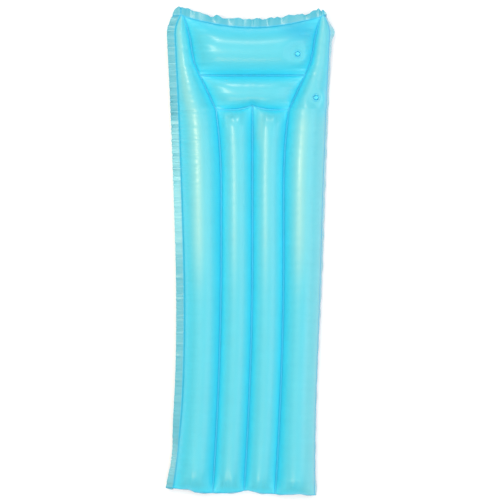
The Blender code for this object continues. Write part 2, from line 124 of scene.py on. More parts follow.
world = bpy.data.worlds.new("studio")
scene.world = world
world.use_nodes = True
nodes, links = world.node_tree.nodes, world.node_tree.links
surround = nodes["Background"]
direction = nodes.new("ShaderNodeTexCoord")
height = nodes.new("ShaderNodeSeparateXYZ")
links.new(direction.outputs["Generated"], height.inputs["Vector"])
glow = nodes.new("ShaderNodeValToRGB")
glow.color_ramp.elements[0].color = (0.30, 0.34, 0.38, 1)
glow.color_ramp.elements[1].color = (0.60, 0.62, 0.66, 1)
for position, colour in ((0.60, (0.35, 0.37, 0.40)), (0.84, (0.46, 0.48, 0.52))):
    glow.color_ramp.elements.new(position).color = (*colour, 1)
links.new(height.outputs["Z"], glow.inputs["Fac"])
light_path = nodes.new("ShaderNodeLightPath")
seen = nodes.new("ShaderNodeMix")
seen.data_type = "RGBA"
seen.inputs["B"].default_value = (0.5, 0.5, 0.5, 1)
links.new(light_path.outputs["Is Camera Ray"], seen.inputs["Factor"])
links.new(glow.outputs["Color"], seen.inputs["A"])
links.new(seen.outputs["Result"], surround.inputs["Color"])
surround.inputs["Strength"].default_value = 2.0


# Top and bottom film
# Two sheets of clear blue vinyl film, 0.25 mm thick, heat-sealed to each other
# along the rim and the inner welds. Air swells the strips between the welds
# into tubes, and the unfilled rim stays outside as a wrinkled flange.

# Lengths are in mm. X and Y are counted from the mattress's own middle, which lies at PLACE.
FILM = 0.25
WELD_CLEARANCE = 0.3
WELD_WIDTH = 5.0
FLANGE_WIDTH = 32.0
FLANGE_CELLS = 5
PLACE = (17.00, -7.34)

FOOT_SEAM_Y, WAIST_Y, HEAD_SEAM_Y, HEAD_RISE = -874.0, -474.0, 818.0, 45.0
FOOT_HALF_WIDTH, WAIST_HALF_WIDTH, HEAD_HALF_WIDTH = 260.0, 245.0, 285.0
SIDE_CURVE = 1.6
CORNER_START_Y, CORNER_TUCK = 790.0, 24.0
FOOT_SWAY, FOOT_SLANT, FOOT_SCALLOP = 31.0, 13.0, 3.0
# How far the flange's edge stands out past its even line, at places along the foot and the head.
FOOT_EDGE_X = (-262.0, -236.0, -212.0, -150.0, -100.0, -46.0, -16.0, 34.0, 100.0, 174.0, 232.0, 262.0)
FOOT_EDGE_OUT = (0.0, -2.0, 9.0, 11.0, 8.0, 2.0, -6.0, 2.0, 3.0, -4.0, 0.0, 3.0)
HEAD_EDGE_X = (-190, -170, -150, -135, -112, -98, -80, 160, 181, 196, 210, 222, 243, 254, 269, 282)
HEAD_EDGE_OUT = (0, -6, -8, 5, -6, -6, 0, 0, -4, -11, -11, 0, 0, -16, -14, 0)

TUBE_WELD_X, SPREAD_START_Y = 115.0, 230.0
PILLOW_FOOT_Y, PILLOW_MIDDLE_Y = 518.0, 644.0
PILLOW_FOOT_HALF_WIDTH, PILLOW_HEAD_HALF_WIDTH = 134.0, 252.0
DIAGONAL_ALONG = (0.0, 0.16, 0.32, 0.50, 0.62, 0.74, 0.87, 1.0)
DIAGONAL_ACROSS = (0.0, 0.22, 0.44, 0.68, 0.75, 0.80, 0.89, 1.0)
CUSP_HEIGHT, CUSP_REACH, CUSP_SHARPNESS, CUSP_FADE = 16.0, 30.0, 1.3, 24.0

# A tube's fullness is the height of its arc over its width. Folds take their share off that height.
TUBE_FULLNESS, PILLOW_FULLNESS = 0.31, 0.285
PILLOW_LEAN = 0.1
DEEPEST_FOLD, END_FOLD_REACH, RIM_FOLD_REACH, FRILL_REACH = 0.6, 42, 25, 11
TUBE_END, PILLOW_END = 70.0, 110.0
SIDE_REST_STEP, INNER_REST_STEP = 0.35, 0.5
TIGHT_START_Y = 150.0
TUBE_CELLS, LONG_ROWS, TIGHT_ROWS, END_ROWS, LOWER_ROWS, UPPER_ROWS = 18, 184, 82, 16, 28, 44

# The valves' seats and holes are in metres, in the CAD model's own frame.
VALVE_SEATS = {"body_valve": (0.249698, 0.552478, 0.068629), "pillow_valve": (0.182112, 0.711015, 0.082318)}
HOLE_RADIUS = 0.0116
SEAT_FLAT, SEAT_FADE = 0.018, 0.050
# Round each hole, the film sealed to the valve's ring shows as a fainter weld. Radii in mm.
RING_MARK, RING_INSIDE, RING_OUTSIDE = 0.55, (11.6, 12.6), (17.0, 16.0)


def ramp(low, high, value):
    """0 below low, 1 above high, with soft ends between."""
    share = np.clip((value - low) / (high - low), 0, 1)
    return share * share * (3 - 2 * share)


def bump(middle, reach, value):
    """1 at the middle, fading to 0 on both sides."""
    return np.exp(-(((value - middle) / reach) ** 2))


def mix(a, b, share):
    """a where the share is 0, b where it is 1."""
    return a + (b - a) * share


def crown(step, fullness):
    """Section of a blown-up tube between its welds at -1 and 1: a circle's arc, 1 at its top."""
    radius = (0.25 + fullness**2) / (2 * fullness)
    return np.maximum(0, np.sqrt(radius**2 - np.clip(step, -1, 1) ** 2 / 4) - radius + fullness) / fullness


def rise(distance, reach):
    """How a tube rises from the weld that closes its end."""
    return (1 - (1 - np.clip(distance / reach, 0, 1)) ** 2.2) ** 0.6


def wavy(place, lengths, seed):
    """A steady but uneven wave along a seam, between about -1 and 1."""
    wave = 0
    for number, length in enumerate(lengths):
        shift = seed + 2.399 * number
        bend = 0.9 * np.sin(place / (3.7 * length) + shift)
        wave = wave + np.sin(2 * math.pi * place / length + 4 * shift + bend)
    return wave / len(lengths) ** 0.5


def gathers(along, lengths, seed, distance, reach):
    """Depth, from 0 to 1, of the small folds that run out from a weld and die away from it."""
    fold = np.clip(0.5 + 0.55 * wavy(along, lengths, seed), 0, 1) ** 1.5
    return fold * np.exp(-((np.clip(distance, 0, None) / reach) ** 1.3))


def tightness(y):
    """How finely the left rim is wrinkled: most beside the shoulders and at both corners."""
    corners = 0.35 * ramp(640, 800, y) + 0.4 * ramp(-600, -820, y)
    return 0.35 + 0.9 * ramp(190, 330, y) * ramp(640, 520, y) + corners


def seam_x(y):
    """Half the width between the rim's seams."""
    foot = mix(WAIST_HALF_WIDTH, FOOT_HALF_WIDTH, (np.minimum(0, y - WAIST_Y) / (WAIST_Y - FOOT_SEAM_Y)) ** 2)
    share = np.maximum(0, y - WAIST_Y) / (HEAD_SEAM_Y - WAIST_Y)
    tuck = np.maximum(0, (y - CORNER_START_Y) / (HEAD_SEAM_Y + HEAD_RISE - CORNER_START_Y)) ** 2
    head = mix(WAIST_HALF_WIDTH, HEAD_HALF_WIDTH, share**SIDE_CURVE) - CORNER_TUCK * tuck
    return np.where(y < WAIST_Y, foot, head)


def weld_x(y):
    """How far the welds beside the inner tubes, and then the pillow, lie from the middle."""
    share = np.clip((y - SPREAD_START_Y) / (PILLOW_FOOT_Y - SPREAD_START_Y), 0, 1)
    body = mix(TUBE_WELD_X, PILLOW_FOOT_HALF_WIDTH, share**2)
    up = np.clip((y - PILLOW_FOOT_Y) / (HEAD_SEAM_Y + HEAD_RISE - PILLOW_FOOT_Y), 0, 1)
    diagonal = np.interp(up, DIAGONAL_ALONG, DIAGONAL_ACROSS)
    return np.where(y < PILLOW_FOOT_Y, body, mix(PILLOW_FOOT_HALF_WIDTH, PILLOW_HEAD_HALF_WIDTH, diagonal))


def even_steps(count):
    """Steps across a tube from weld to weld, closer together at the welds."""
    return np.sin(np.linspace(-math.pi / 2, math.pi / 2, count + 1))


def sheet_lines():
    """The grid's lines along (tube, side, step) and across (y, share of the head's rise)."""
    steps = even_steps(TUBE_CELLS)
    right = [("inner", 1, step) for step in steps] + [("side", 1, step) for step in steps]
    columns = [(tube, -1, step) for tube, _, step in reversed(right)] + right
    low_end, high_end = FOOT_SEAM_Y + TUBE_END, PILLOW_FOOT_Y - TUBE_END
    body_end = PILLOW_FOOT_Y - WELD_WIDTH / 2
    pillow_foot, pillow_low = PILLOW_FOOT_Y + WELD_WIDTH / 2, PILLOW_MIDDLE_Y - WELD_WIDTH / 2
    pillow_high = PILLOW_MIDDLE_Y + WELD_WIDTH / 2
    quarter = np.linspace(0, math.pi / 2, END_ROWS + 1)
    rows = [(y, 0.0) for y in mix(FOOT_SEAM_Y, low_end, 1 - np.cos(quarter))]
    rows += [(y, 0.0) for y in np.linspace(low_end, TIGHT_START_Y, LONG_ROWS + 1)[1:]]
    rows += [(y, 0.0) for y in np.linspace(TIGHT_START_Y, high_end, TIGHT_ROWS + 1)[1:]]
    rows += [(y, 0.0) for y in mix(high_end, body_end, np.sin(quarter))[1:]]
    rows += [(y, 0.0) for y in mix(pillow_foot, pillow_low, (even_steps(LOWER_ROWS) + 1) / 2)]
    rows += [(mix(pillow_high, HEAD_SEAM_Y, share), share) for share in (even_steps(UPPER_ROWS) + 1) / 2]
    return columns, rows


def middle_height(outer, y):
    """Height of the welds' level over the floor, on which the tubes rest."""
    seat = WELD_CLEARANCE / 2 + FILM
    lower = PILLOW_FULLNESS * (PILLOW_MIDDLE_Y - PILLOW_FOOT_Y) + seat
    upper = PILLOW_FULLNESS * (HEAD_SEAM_Y - PILLOW_MIDDLE_Y) + seat
    low_crown, high_crown = mix(PILLOW_FOOT_Y, PILLOW_MIDDLE_Y, 0.5), mix(PILLOW_MIDDLE_Y, HEAD_SEAM_Y, 0.5)
    pillow = mix(lower, upper, ramp(low_crown, high_crown, y))
    below = np.minimum(y, PILLOW_FOOT_Y)
    side = TUBE_FULLNESS * (seam_x(below) - weld_x(below)) * rise(1 - SIDE_REST_STEP, 1.0) + seat
    inner = TUBE_FULLNESS * weld_x(below) * rise(1 - INNER_REST_STEP, 1.0) + seat
    return mix(np.where(outer, side, inner), pillow, ramp(SPREAD_START_Y, low_crown, y))


def film_grid():
    """Rows by columns of the weld level's points, and of what shapes and marks the film there."""
    columns, rows = sheet_lines()
    outer = np.array([tube == "side" for tube, _, _ in columns])[None, :]
    side = np.array([side for _, side, _ in columns], float)[None, :]
    step = np.array([step for _, _, step in columns], float)[None, :]
    row = np.array([y for y, _ in rows])[:, None]
    rising = np.array([share for _, share in rows])[:, None]

    def across(y):
        weld = weld_x(y)
        to_pillow = ramp(PILLOW_FOOT_Y, PILLOW_MIDDLE_Y, y)
        pillow_step = step + PILLOW_LEAN * to_pillow * (1 - step**2)
        inner = mix(WELD_WIDTH / 2, weld - WELD_WIDTH / 2, (pillow_step + 1) / 2)
        outside = mix(weld + WELD_WIDTH / 2, seam_x(y), (step + 1) / 2)
        return np.where(outer, outside, inner)

    to_corner = np.minimum(1, across(row + 0 * step) / PILLOW_HEAD_HALF_WIDTH)
    head_y = HEAD_SEAM_Y + HEAD_RISE * to_corner**2
    y = row + rising * (head_y - HEAD_SEAM_Y)
    x = across(y)
    along_x = side * x + 500

    weld = weld_x(y)
    from_foot, from_head = y - FOOT_SEAM_Y, head_y - y
    # The side tubes, with small folds from the foot, the head, the rim and the inner weld.
    side_width = seam_x(y) - weld
    rim = (1 - step) / 2 * side_width
    foot_gathers = 0.45 * gathers(along_x, (19, 31), 0.7, from_foot, END_FOLD_REACH)
    side_folds = foot_gathers + 0.4 * gathers(along_x, (15, 23), 1.3, from_head, 26)
    side_folds = side_folds + np.where(
        side < 0,
        0.34 * tightness(y) * gathers(y, (17.0, 25.0, 39.0), 0.4, rim, RIM_FOLD_REACH),
        0.20 * gathers(y, (27.0, 41.0, 63.0), 1.9, rim, RIM_FOLD_REACH),
    )
    beside_weld = (1 + step) / 2 * side_width
    side_folds = side_folds + 0.14 * gathers(y, (29, 46), 2.1 + side, beside_weld, 22)
    side_folds = side_folds + 0.22 * bump(14, 4.5, beside_weld) * bump(610, 85, y) * (0.85 - 0.15 * side)
    side_half = TUBE_FULLNESS * side_width * crown(step, TUBE_FULLNESS)
    side_half = side_half * (1 - np.clip(side_folds, 0, DEEPEST_FOLD))
    side_half = side_half * rise(from_foot, TUBE_END) * rise(from_head, TUBE_END / 2)

    # The inner tubes, with folds from both ends and from their welds.
    to_body_end = PILLOW_FOOT_Y - WELD_WIDTH / 2 - row
    inner_folds = foot_gathers + 0.42 * gathers(along_x, (16, 25), 0.2, to_body_end, END_FOLD_REACH)
    inner_folds = inner_folds + 0.13 * gathers(y, (27, 43), 0.9 + side, (1 - np.abs(step)) / 2 * weld, 18)
    inner_half = TUBE_FULLNESS * weld * crown(step, TUBE_FULLNESS)
    inner_half = inner_half * (1 - np.clip(inner_folds, 0, DEEPEST_FOLD))
    inner_half = inner_half * rise(from_foot, TUBE_END) * rise(to_body_end, TUBE_END)

    # The pillow's two tubes, with folds from the diagonal welds and from the crosswise ones.
    to_weld = weld - WELD_WIDTH / 2 - x
    low_y, high_y = PILLOW_FOOT_Y + WELD_WIDTH / 2, PILLOW_MIDDLE_Y - WELD_WIDTH / 2
    lower_step = 2 * (row - low_y) / (high_y - low_y) - 1
    upper_step = 2 * (y - PILLOW_MIDDLE_Y - WELD_WIDTH / 2) / (head_y - PILLOW_MIDDLE_Y - WELD_WIDTH / 2) - 1
    lower = PILLOW_FULLNESS * (PILLOW_MIDDLE_Y - PILLOW_FOOT_Y) * crown(lower_step, PILLOW_FULLNESS)
    upper = PILLOW_FULLNESS * (HEAD_SEAM_Y - PILLOW_MIDDLE_Y) * crown(upper_step, PILLOW_FULLNESS)
    pillow_half = np.where(row < PILLOW_MIDDLE_Y, lower, upper) * rise(to_weld, PILLOW_END)
    crosswise = np.minimum(np.minimum(np.abs(row - PILLOW_FOOT_Y), np.abs(row - PILLOW_MIDDLE_Y)), from_head)
    pillow_folds = 0.42 * gathers(y, (13, 21, 30), 0.5 + side, to_weld, 30)
    pillow_folds = pillow_folds + 0.16 * gathers(along_x, (29, 45), 1.7, crosswise, 22)
    pillow_half = pillow_half * (1 - np.clip(pillow_folds, 0, DEEPEST_FOLD))
    half = np.where(outer, side_half, np.where(row < PILLOW_FOOT_Y, inner_half, pillow_half))

    height = np.where(outer, middle_height(True, y), middle_height(False, y))
    joined = mix(middle_height(True, y), middle_height(False, y), 0.5)
    height = mix(height, joined, ramp(-0.6, -1.0, step) * outer + ramp(0.6, 1.0, step) * ~outer)

    # Marks for the colours. The valley mark is 1 on a weld and 0 on a crown. The weld mark covers the
    # welds and a painted fold shade at the pillow's right corner. The painted highlight mark, last, is a
    # painted streak on the crowns.
    in_pillow = ~outer & (row > PILLOW_FOOT_Y)
    pillow_valley = np.clip(np.abs(np.where(row < PILLOW_MIDDLE_Y, lower_step, upper_step)), 0, 1)
    valley = np.where(in_pillow, np.maximum(pillow_valley, np.clip(1 - to_weld / 60, 0, 1)), np.abs(step))
    # A painted shade of a fold, laid into the weld mark at the pillow's right corner.
    painted_corner_shade = 0.75 * in_pillow * bump(172, 62, side * x) * bump(802, 34, y)
    weld_and_corner_shade = np.maximum(ramp(0.965, 1.0, valley), painted_corner_shade)
    # Near the tube ends the valley mark rises, so the ends take the valleys' deeper blue, a painted shade
    # where each tube rounds down.
    to_end = np.minimum(from_foot, np.where(outer, from_head, to_body_end))
    at_ends = np.where(in_pillow, 0, np.clip(1 - to_end / END_FOLD_REACH, 0, 1))
    valley = np.maximum(valley, 0.97 * at_ends)
    rim_side = np.where(outer, rim, 999.0)
    rim_end = np.minimum(from_foot, from_head)

    # The cusp between the inner tubes, the scalloped foot edge, and the foot's sway and slant.
    cusp = bump(PILLOW_FOOT_Y, CUSP_FADE, row) * CUSP_HEIGHT
    y = y + np.where(outer, 0, cusp * np.exp(-((x / CUSP_REACH) ** CUSP_SHARPNESS)))
    y = y - FOOT_SCALLOP * crown(step, TUBE_FULLNESS) * np.exp(-from_foot / 25)
    sway = -FOOT_SWAY * np.maximum(0, y / FOOT_SEAM_Y) ** 2
    slant = FOOT_SLANT * ramp(-500, FOOT_SEAM_Y, y) * (side * x / FOOT_HALF_WIDTH + 1)
    points = np.stack([side * x + sway, y - slant, height], axis=-1)

    # The painted highlight streaks run a little left of each crown, strong toward the head and fading toward
    # the foot.
    along_crown = ramp(-230, 80, row) * (1 - np.where(side < 0, 0, 0.75) * ramp(440, 560, row))
    left_of_crown = -0.18 - 0.26 * (side < 0) * ramp(440, 600, row)
    left_of_crown = left_of_crown - 0.35 * (side > 0) * ~outer * ramp(330, 450, row)
    on_inner = 0.4 + 0.2 * side * ramp(330, 450, row)
    painted_highlight = bump(left_of_crown, 0.36, side * step) * along_crown * np.where(outer, 1, on_inner)
    marks = {"half": half, "valley": valley, "weld": weld_and_corner_shade, "painted_highlight": painted_highlight * ~in_pillow}
    return points, {**marks, "rim_side": rim_side, "rim_end": rim_end}


def with_flange(points, marks):
    """The same grid with the flange's lines all round. Outside the seam, distances to it are below 0."""

    def hanging(outward, droop):
        level, down = np.array([*outward, 0.0]), np.array([0, 0, -1.0])
        droop = np.radians(droop)[..., None]
        return FLANGE_WIDTH * (np.cos(droop) * level + np.sin(droop) * down)

    cells = FLANGE_CELLS
    size = [count + 2 * cells for count in points.shape[:2]]
    grid = np.pad(points, ((cells, cells), (cells, cells), (0, 0)), mode="edge")
    wide = {name: np.pad(values, cells, mode="edge") for name, values in marks.items()}
    i, j = np.meshgrid(np.arange(size[0]), np.arange(size[1]), indexing="ij")
    to_foot, to_head = np.clip(cells - i, 0, None) / cells, np.clip(i - size[0] + 1 + cells, 0, None) / cells
    to_left, to_right = np.clip(cells - j, 0, None) / cells, np.clip(j - size[1] + 1 + cells, 0, None) / cells
    x, y = grid[..., 0], grid[..., 1]

    # The left and head flanges stand out nearly level. The right and foot flanges hang down. A droop
    # is in degrees.
    left = hanging((-1, 0), 14 + 32 * bump(-760, 110, y))
    right = hanging((1, 0), 74 + 9 * ramp(60, -420, y) - 22 * bump(806, 24, y) - 10 * bump(-880, 24, y))
    foot, head = hanging((0, -1), 80 + 0 * x), hanging((0, 1), 12 + 0 * x)
    at_end, at_side = to_foot + to_head, to_left + to_right
    rounding_end = np.sqrt(1 - at_side**2 / 2)[..., None]
    rounding_side = np.sqrt(1 - at_end**2 / 2)[..., None]
    end = (to_foot[..., None] * foot + to_head[..., None] * head) * rounding_end
    across = (to_left[..., None] * left + to_right[..., None] * right) * rounding_side
    around_corner = np.minimum(end[..., 2], across[..., 2])
    flat = np.array([1, 1, 0])
    end = np.where((to_left > 0)[..., None], end * flat, end)
    across = np.where(((to_right > 0) & (at_end > 0))[..., None], across * flat, across)
    hung = end + across
    hung[..., 2] = np.where((to_right > 0) & (to_foot > 0), around_corner, hung[..., 2])
    grid += hung
    unfilled = ((at_end > 0) | (at_side > 0)).astype(float)
    for name in ("half", "valley", "weld", "painted_highlight"):
        wide[name] = wide[name] * (1 - unfilled)
    wide["rim_side"] = wide["rim_side"] - FLANGE_WIDTH * at_side
    wide["rim_end"] = wide["rim_end"] - FLANGE_WIDTH * at_end
    # The pale mark is painted light, standing in for the floor's light seen through the thin film. It covers
    # the hanging right flange, the flank above it and the left flange. The flange mark tells how thin each
    # side's flange looks.
    right_edge_painted_light = (0.45 * ramp(65, 5, wide["rim_side"]) + 0.35 * ramp(10, 0, wide["rim_side"])) * (x > 0)
    right_edge_painted_light = right_edge_painted_light * (1 - 0.6 * ramp(440, 560, y))
    wide["pale"] = np.where(to_right > 0, 1.0, right_edge_painted_light * (1 - unfilled))
    left_flange_painted_light = mix(0.35, 1.0, np.maximum(ramp(-100, 110, y) * ramp(530, 420, y), 0.8 * bump(-785, 75, y)))
    wide["pale"] = np.where(to_left > 0, left_flange_painted_light, wide["pale"])
    wide["flange"] = unfilled * np.where(
        to_left > 0, mix(0.6, 1.0, left_flange_painted_light), np.where(to_right > 0, 0.8, 0.3 + 0.2 * (to_head > 0))
    )
    return grid, wide


def seam_wrinkles(points, marks):
    """Moves of the film, in metres, for the frill of the flange and beside the rim's seam."""
    x, y = points[:, 0] * 1000 - PLACE[0], points[:, 1] * 1000 - PLACE[1]
    side_out = np.clip(-marks["rim_side"], 0, None) / FLANGE_WIDTH
    end_out = np.clip(-marks["rim_end"], 0, None) / FLANGE_WIDTH
    on_left, on_head = x < 0, y > 0
    side_near = np.exp(-np.clip(marks["rim_side"], 0, None) / FRILL_REACH)
    end_near = np.exp(-np.clip(marks["rim_end"], 0, None) / FRILL_REACH)
    left_wave = 3.6 * wavy(y, (15.0, 21.0, 34.0), 0.4) * tightness(y) + 1.4 * wavy(y, (43.0, 71.0), 1.9)
    right_wave = 0.7 * wavy(y, (61.0, 97.0), 0.3)
    finer = 0.5 + 0.75 * ramp(-60, 60, x)
    head_wave = 1.5 * wavy(x, (16.5, 21.0, 29.0), 1.1) * finer + 2.1 * wavy(x, (47.0, 66.0), 2.6)
    foot_wave = 1.0 * wavy(x, (57.0, 88.0), 0.8)
    side_move = np.where(on_left, left_wave, right_wave) * (0.22 + 1.1 * side_out**1.2) * side_near
    end_move = np.where(on_head, head_wave, foot_wave) * (0.22 + 1.1 * end_out**1.2) * end_near
    corner = (side_out > 0) & (end_out > 0)
    moves = np.zeros_like(points)
    moves[:, 2] = np.where(corner, 0.6, 1) * (side_move * (end_out < 1) + end_move)
    moves[:, 0] = np.where(on_left, -1, 1) * side_move * np.where(on_left, 0.1, 0.95) * side_out
    moves[:, 1] = np.where(on_head, 1, -1) * end_move * np.where(on_head, 0.1, 0.95) * end_out
    edge = (2.0 + 2.2 * wavy(x, (38.0, 59.0), 0.9) + 1.1 * wavy(x, (15.0, 19.0), 0.2) * finer) * end_out**2
    edge = edge + np.interp(x, HEAD_EDGE_X, HEAD_EDGE_OUT) * end_out**2
    moves[:, 1] += np.where(on_head, edge, -np.interp(x, FOOT_EDGE_X, FOOT_EDGE_OUT) * end_near)
    return moves / 1000


def read_places(mesh):
    """The points of a mesh, one a row."""
    places = np.empty(len(mesh.vertices) * 3, np.float32)
    mesh.vertices.foreach_get("co", places)
    return places.reshape(-1, 3)


def read_mark(mesh, name):
    """One mark of a mesh, a value for each point."""
    values = np.empty(len(mesh.vertices), np.float32)
    mesh.attributes[name].data.foreach_get("value", values)
    return values


def select_faces(mesh, near, enough=all):
    """Leaves only the faces selected whose corners are near, all of them or any, in edit mode."""
    bpy.ops.object.mode_set(mode="EDIT")
    bpy.ops.mesh.select_mode(type="FACE")
    bpy.ops.mesh.select_all(action="DESELECT")
    bpy.ops.object.mode_set(mode="OBJECT")
    chosen = [enough(near[corner] for corner in face.vertices) for face in mesh.polygons]
    mesh.polygons.foreach_set("select", chosen)
    bpy.ops.object.mode_set(mode="EDIT")


def cut_valve_hole(mesh, seat):
    """Cuts the round hole that a valve hangs in, and trues its edge."""
    select_faces(mesh, np.hypot(*(read_places(mesh)[:, :2] - seat[:2]).T) < 2.6 * HOLE_RADIUS)
    bpy.ops.mesh.subdivide(number_cuts=3)
    bpy.ops.object.mode_set(mode="OBJECT")
    select_faces(mesh, np.hypot(*(read_places(mesh)[:, :2] - seat[:2]).T) < HOLE_RADIUS, any)
    bpy.ops.mesh.delete(type="FACE")
    bpy.ops.mesh.select_mode(type="VERT")
    bpy.ops.mesh.select_non_manifold(
        use_wire=False, use_boundary=True, use_multi_face=False, use_non_contiguous=False, use_verts=False
    )
    bpy.ops.object.mode_set(mode="OBJECT")
    for vertex in mesh.vertices:
        outward = Vector(vertex.co[:2]) - Vector(seat[:2])
        if vertex.select and outward.length < 2 * HOLE_RADIUS:
            vertex.co[:2] = Vector(seat[:2]) + outward.normalized() * HOLE_RADIUS


def film_sheet(name, facing):
    """One sheet: a grid whose lines follow the tubes, shaped by the air and thickened outwards."""
    grid, marks = with_flange(*film_grid())
    count_y, count_x = grid.shape[:2]
    normal = np.cross(np.gradient(grid, axis=1), np.gradient(grid, axis=0))
    normal /= np.linalg.norm(normal, axis=-1, keepdims=True)
    surface = grid + facing * normal * WELD_CLEARANCE / 2
    surface[..., 2] += facing * marks.pop("half")
    surface = (surface + np.array([*PLACE, 0])) / 1000
    if facing > 0:
        for seat in VALVE_SEATS.values():
            reach = np.hypot(surface[..., 0] - seat[0], surface[..., 1] - seat[1])
            surface[..., 2] = mix(surface[..., 2], seat[2], 1 - ramp(SEAT_FLAT, SEAT_FADE, reach))

    bpy.ops.object.select_all(action="DESELECT")
    bpy.ops.mesh.primitive_grid_add(x_subdivisions=count_x - 1, y_subdivisions=count_y - 1, size=2)
    film = bpy.context.object
    film.name = name
    mesh = film.data
    flat = read_places(mesh)
    i = np.rint((flat[:, 1] + 1) / 2 * (count_y - 1)).astype(int)
    j = np.rint((flat[:, 0] + 1) / 2 * (count_x - 1)).astype(int)
    mesh.vertices.foreach_set("co", surface[i, j].ravel())
    for mark, values in marks.items():
        mesh.attributes.new(mark, "FLOAT", "POINT").data.foreach_set("value", values[i, j].astype(np.float32))
    if facing < 0:
        mesh.flip_normals()

    select_faces(mesh, (read_mark(mesh, "rim_side") < 0.5) | (read_mark(mesh, "rim_end") < 0.5))
    bpy.ops.mesh.subdivide(number_cuts=1)
    bpy.ops.object.mode_set(mode="OBJECT")
    points = read_places(mesh)
    points += seam_wrinkles(points, {mark: read_mark(mesh, mark) for mark in ("rim_side", "rim_end")})
    points[:, 2] = np.maximum(points[:, 2], FILM / 1000)
    mesh.vertices.foreach_set("co", points.ravel())
    if facing > 0:
        for seat in VALVE_SEATS.values():
            cut_valve_hole(mesh, seat)
    to_seam = np.minimum(np.abs(read_mark(mesh, "rim_side")), np.abs(read_mark(mesh, "rim_end")))
    weld = np.maximum(read_mark(mesh, "weld"), bump(0, 3.0, to_seam))
    if facing > 0:
        for seat in VALVE_SEATS.values():
            reach = np.hypot(*(read_places(mesh)[:, :2] - seat[:2]).T) * 1000
            weld = np.maximum(weld, RING_MARK * ramp(*RING_OUTSIDE, reach) * ramp(*RING_INSIDE, reach))
    mesh.attributes["weld"].data.foreach_set("value", weld)
    for mark in ("rim_side", "rim_end"):
        mesh.attributes.remove(mesh.attributes[mark])
    mesh.update()

    thickness = film.modifiers.new("film thickness", "SOLIDIFY")
    thickness.thickness = FILM / 1000
    thickness.offset = 1
    bpy.ops.object.modifier_apply(modifier=thickness.name)
    bpy.ops.object.shade_smooth_by_angle(angle=math.radians(60))
    return film


def moulded_grain():
    """A node group for soft vinyl: an uneven tone, an uneven gloss and a fine grain height."""
    group = bpy.data.node_groups.new("vinyl grain", "ShaderNodeTree")
    face = group.interface
    for name in ("Grain scale", "Mottle scale", "Tone", "Gloss", "Spread"):
        face.new_socket(name, in_out="INPUT", socket_type="NodeSocketFloat")
    face.new_socket("Tone", in_out="OUTPUT", socket_type="NodeSocketFloat")
    face.new_socket("Roughness", in_out="OUTPUT", socket_type="NodeSocketFloat")
    face.new_socket("Height", in_out="OUTPUT", socket_type="NodeSocketFloat")
    nodes, links = group.nodes, group.links
    given, out = nodes.new("NodeGroupInput"), nodes.new("NodeGroupOutput")
    place = nodes.new("ShaderNodeTexCoord")
    mottle, grain = nodes.new("ShaderNodeTexNoise"), nodes.new("ShaderNodeTexNoise")
    mottle.inputs["Detail"].default_value = 4
    grain.inputs["Detail"].default_value = 2
    for noise, scale in ((mottle, "Mottle scale"), (grain, "Grain scale")):
        links.new(place.outputs["Object"], noise.inputs["Vector"])
        links.new(given.outputs[scale], noise.inputs["Scale"])
    centred = nodes.new("ShaderNodeMath")
    centred.operation = "SUBTRACT"
    centred.inputs[1].default_value = 0.5
    links.new(mottle.outputs["Fac"], centred.inputs[0])
    tone = nodes.new("ShaderNodeMath")
    tone.operation = "MULTIPLY_ADD"
    tone.inputs[2].default_value = 1.0
    links.new(centred.outputs[0], tone.inputs[0])
    links.new(given.outputs["Tone"], tone.inputs[1])
    gloss = nodes.new("ShaderNodeMath")
    gloss.operation = "MULTIPLY_ADD"
    links.new(centred.outputs[0], gloss.inputs[0])
    links.new(given.outputs["Spread"], gloss.inputs[1])
    links.new(given.outputs["Gloss"], gloss.inputs[2])
    links.new(tone.outputs[0], out.inputs["Tone"])
    links.new(gloss.outputs[0], out.inputs["Roughness"])
    links.new(grain.outputs["Fac"], out.inputs["Height"])
    return group


VINYL_IOR = 1.53
grain_group = moulded_grain()


def soft_vinyl(name, grain_settings, relief_strength, relief_depth):
    """A vinyl with its grain, gloss and relief, its shader, and the socket that its colour goes into."""
    vinyl = bpy.data.materials.new(name)
    vinyl.use_nodes = True
    nodes, links = vinyl.node_tree.nodes, vinyl.node_tree.links
    shader = nodes["Principled BSDF"]
    shader.inputs["IOR"].default_value = VINYL_IOR
    grain = nodes.new("ShaderNodeGroup")
    grain.node_tree = grain_group
    for setting, value in grain_settings.items():
        grain.inputs[setting].default_value = value
    links.new(grain.outputs["Roughness"], shader.inputs["Roughness"])
    toned = nodes.new("ShaderNodeVectorMath")
    toned.operation = "SCALE"
    links.new(grain.outputs["Tone"], toned.inputs["Scale"])
    links.new(toned.outputs["Vector"], shader.inputs["Base Color"])
    relief = nodes.new("ShaderNodeBump")
    relief.inputs["Strength"].default_value = relief_strength
    relief.inputs["Distance"].default_value = relief_depth
    links.new(grain.outputs["Height"], relief.inputs["Height"])
    links.new(relief.outputs["Normal"], shader.inputs["Normal"])
    return vinyl, shader, toned.inputs[0]


# Clear blue film: a little milky, with a fine orange-peel grain and faint mottling from the
# rolling. Its colour holds painted light: a painted sheen and painted highlight streaks on the
# crowns, bluer and brighter valleys where the two sheets meet and light through the film is
# painted in, and a painted paleness on the thin flange.
film_grain = {"Grain scale": 700, "Mottle scale": 14, "Tone": 0.10, "Gloss": 0.44, "Spread": 0.16}
clear_blue, shader, tint = soft_vinyl("clear blue vinyl film", film_grain, 0.12, 0.0002)
shader.inputs["Coat Roughness"].default_value = 0.26
nodes, links = clear_blue.node_tree.nodes, clear_blue.node_tree.links


def colours(mark, stops):
    """Colours that follow one of the film's marks."""
    read = nodes.new("ShaderNodeAttribute")
    read.attribute_name = mark
    tones = nodes.new("ShaderNodeValToRGB")
    first, last = tones.color_ramp.elements
    first.position, first.color = stops[0][0], (*stops[0][1], 1)
    last.position, last.color = stops[-1][0], (*stops[-1][1], 1)
    for position, colour in stops[1:-1]:
        tones.color_ramp.elements.new(position).color = (*colour, 1)
    links.new(read.outputs["Fac"], tones.inputs["Fac"])
    return tones.outputs["Color"]


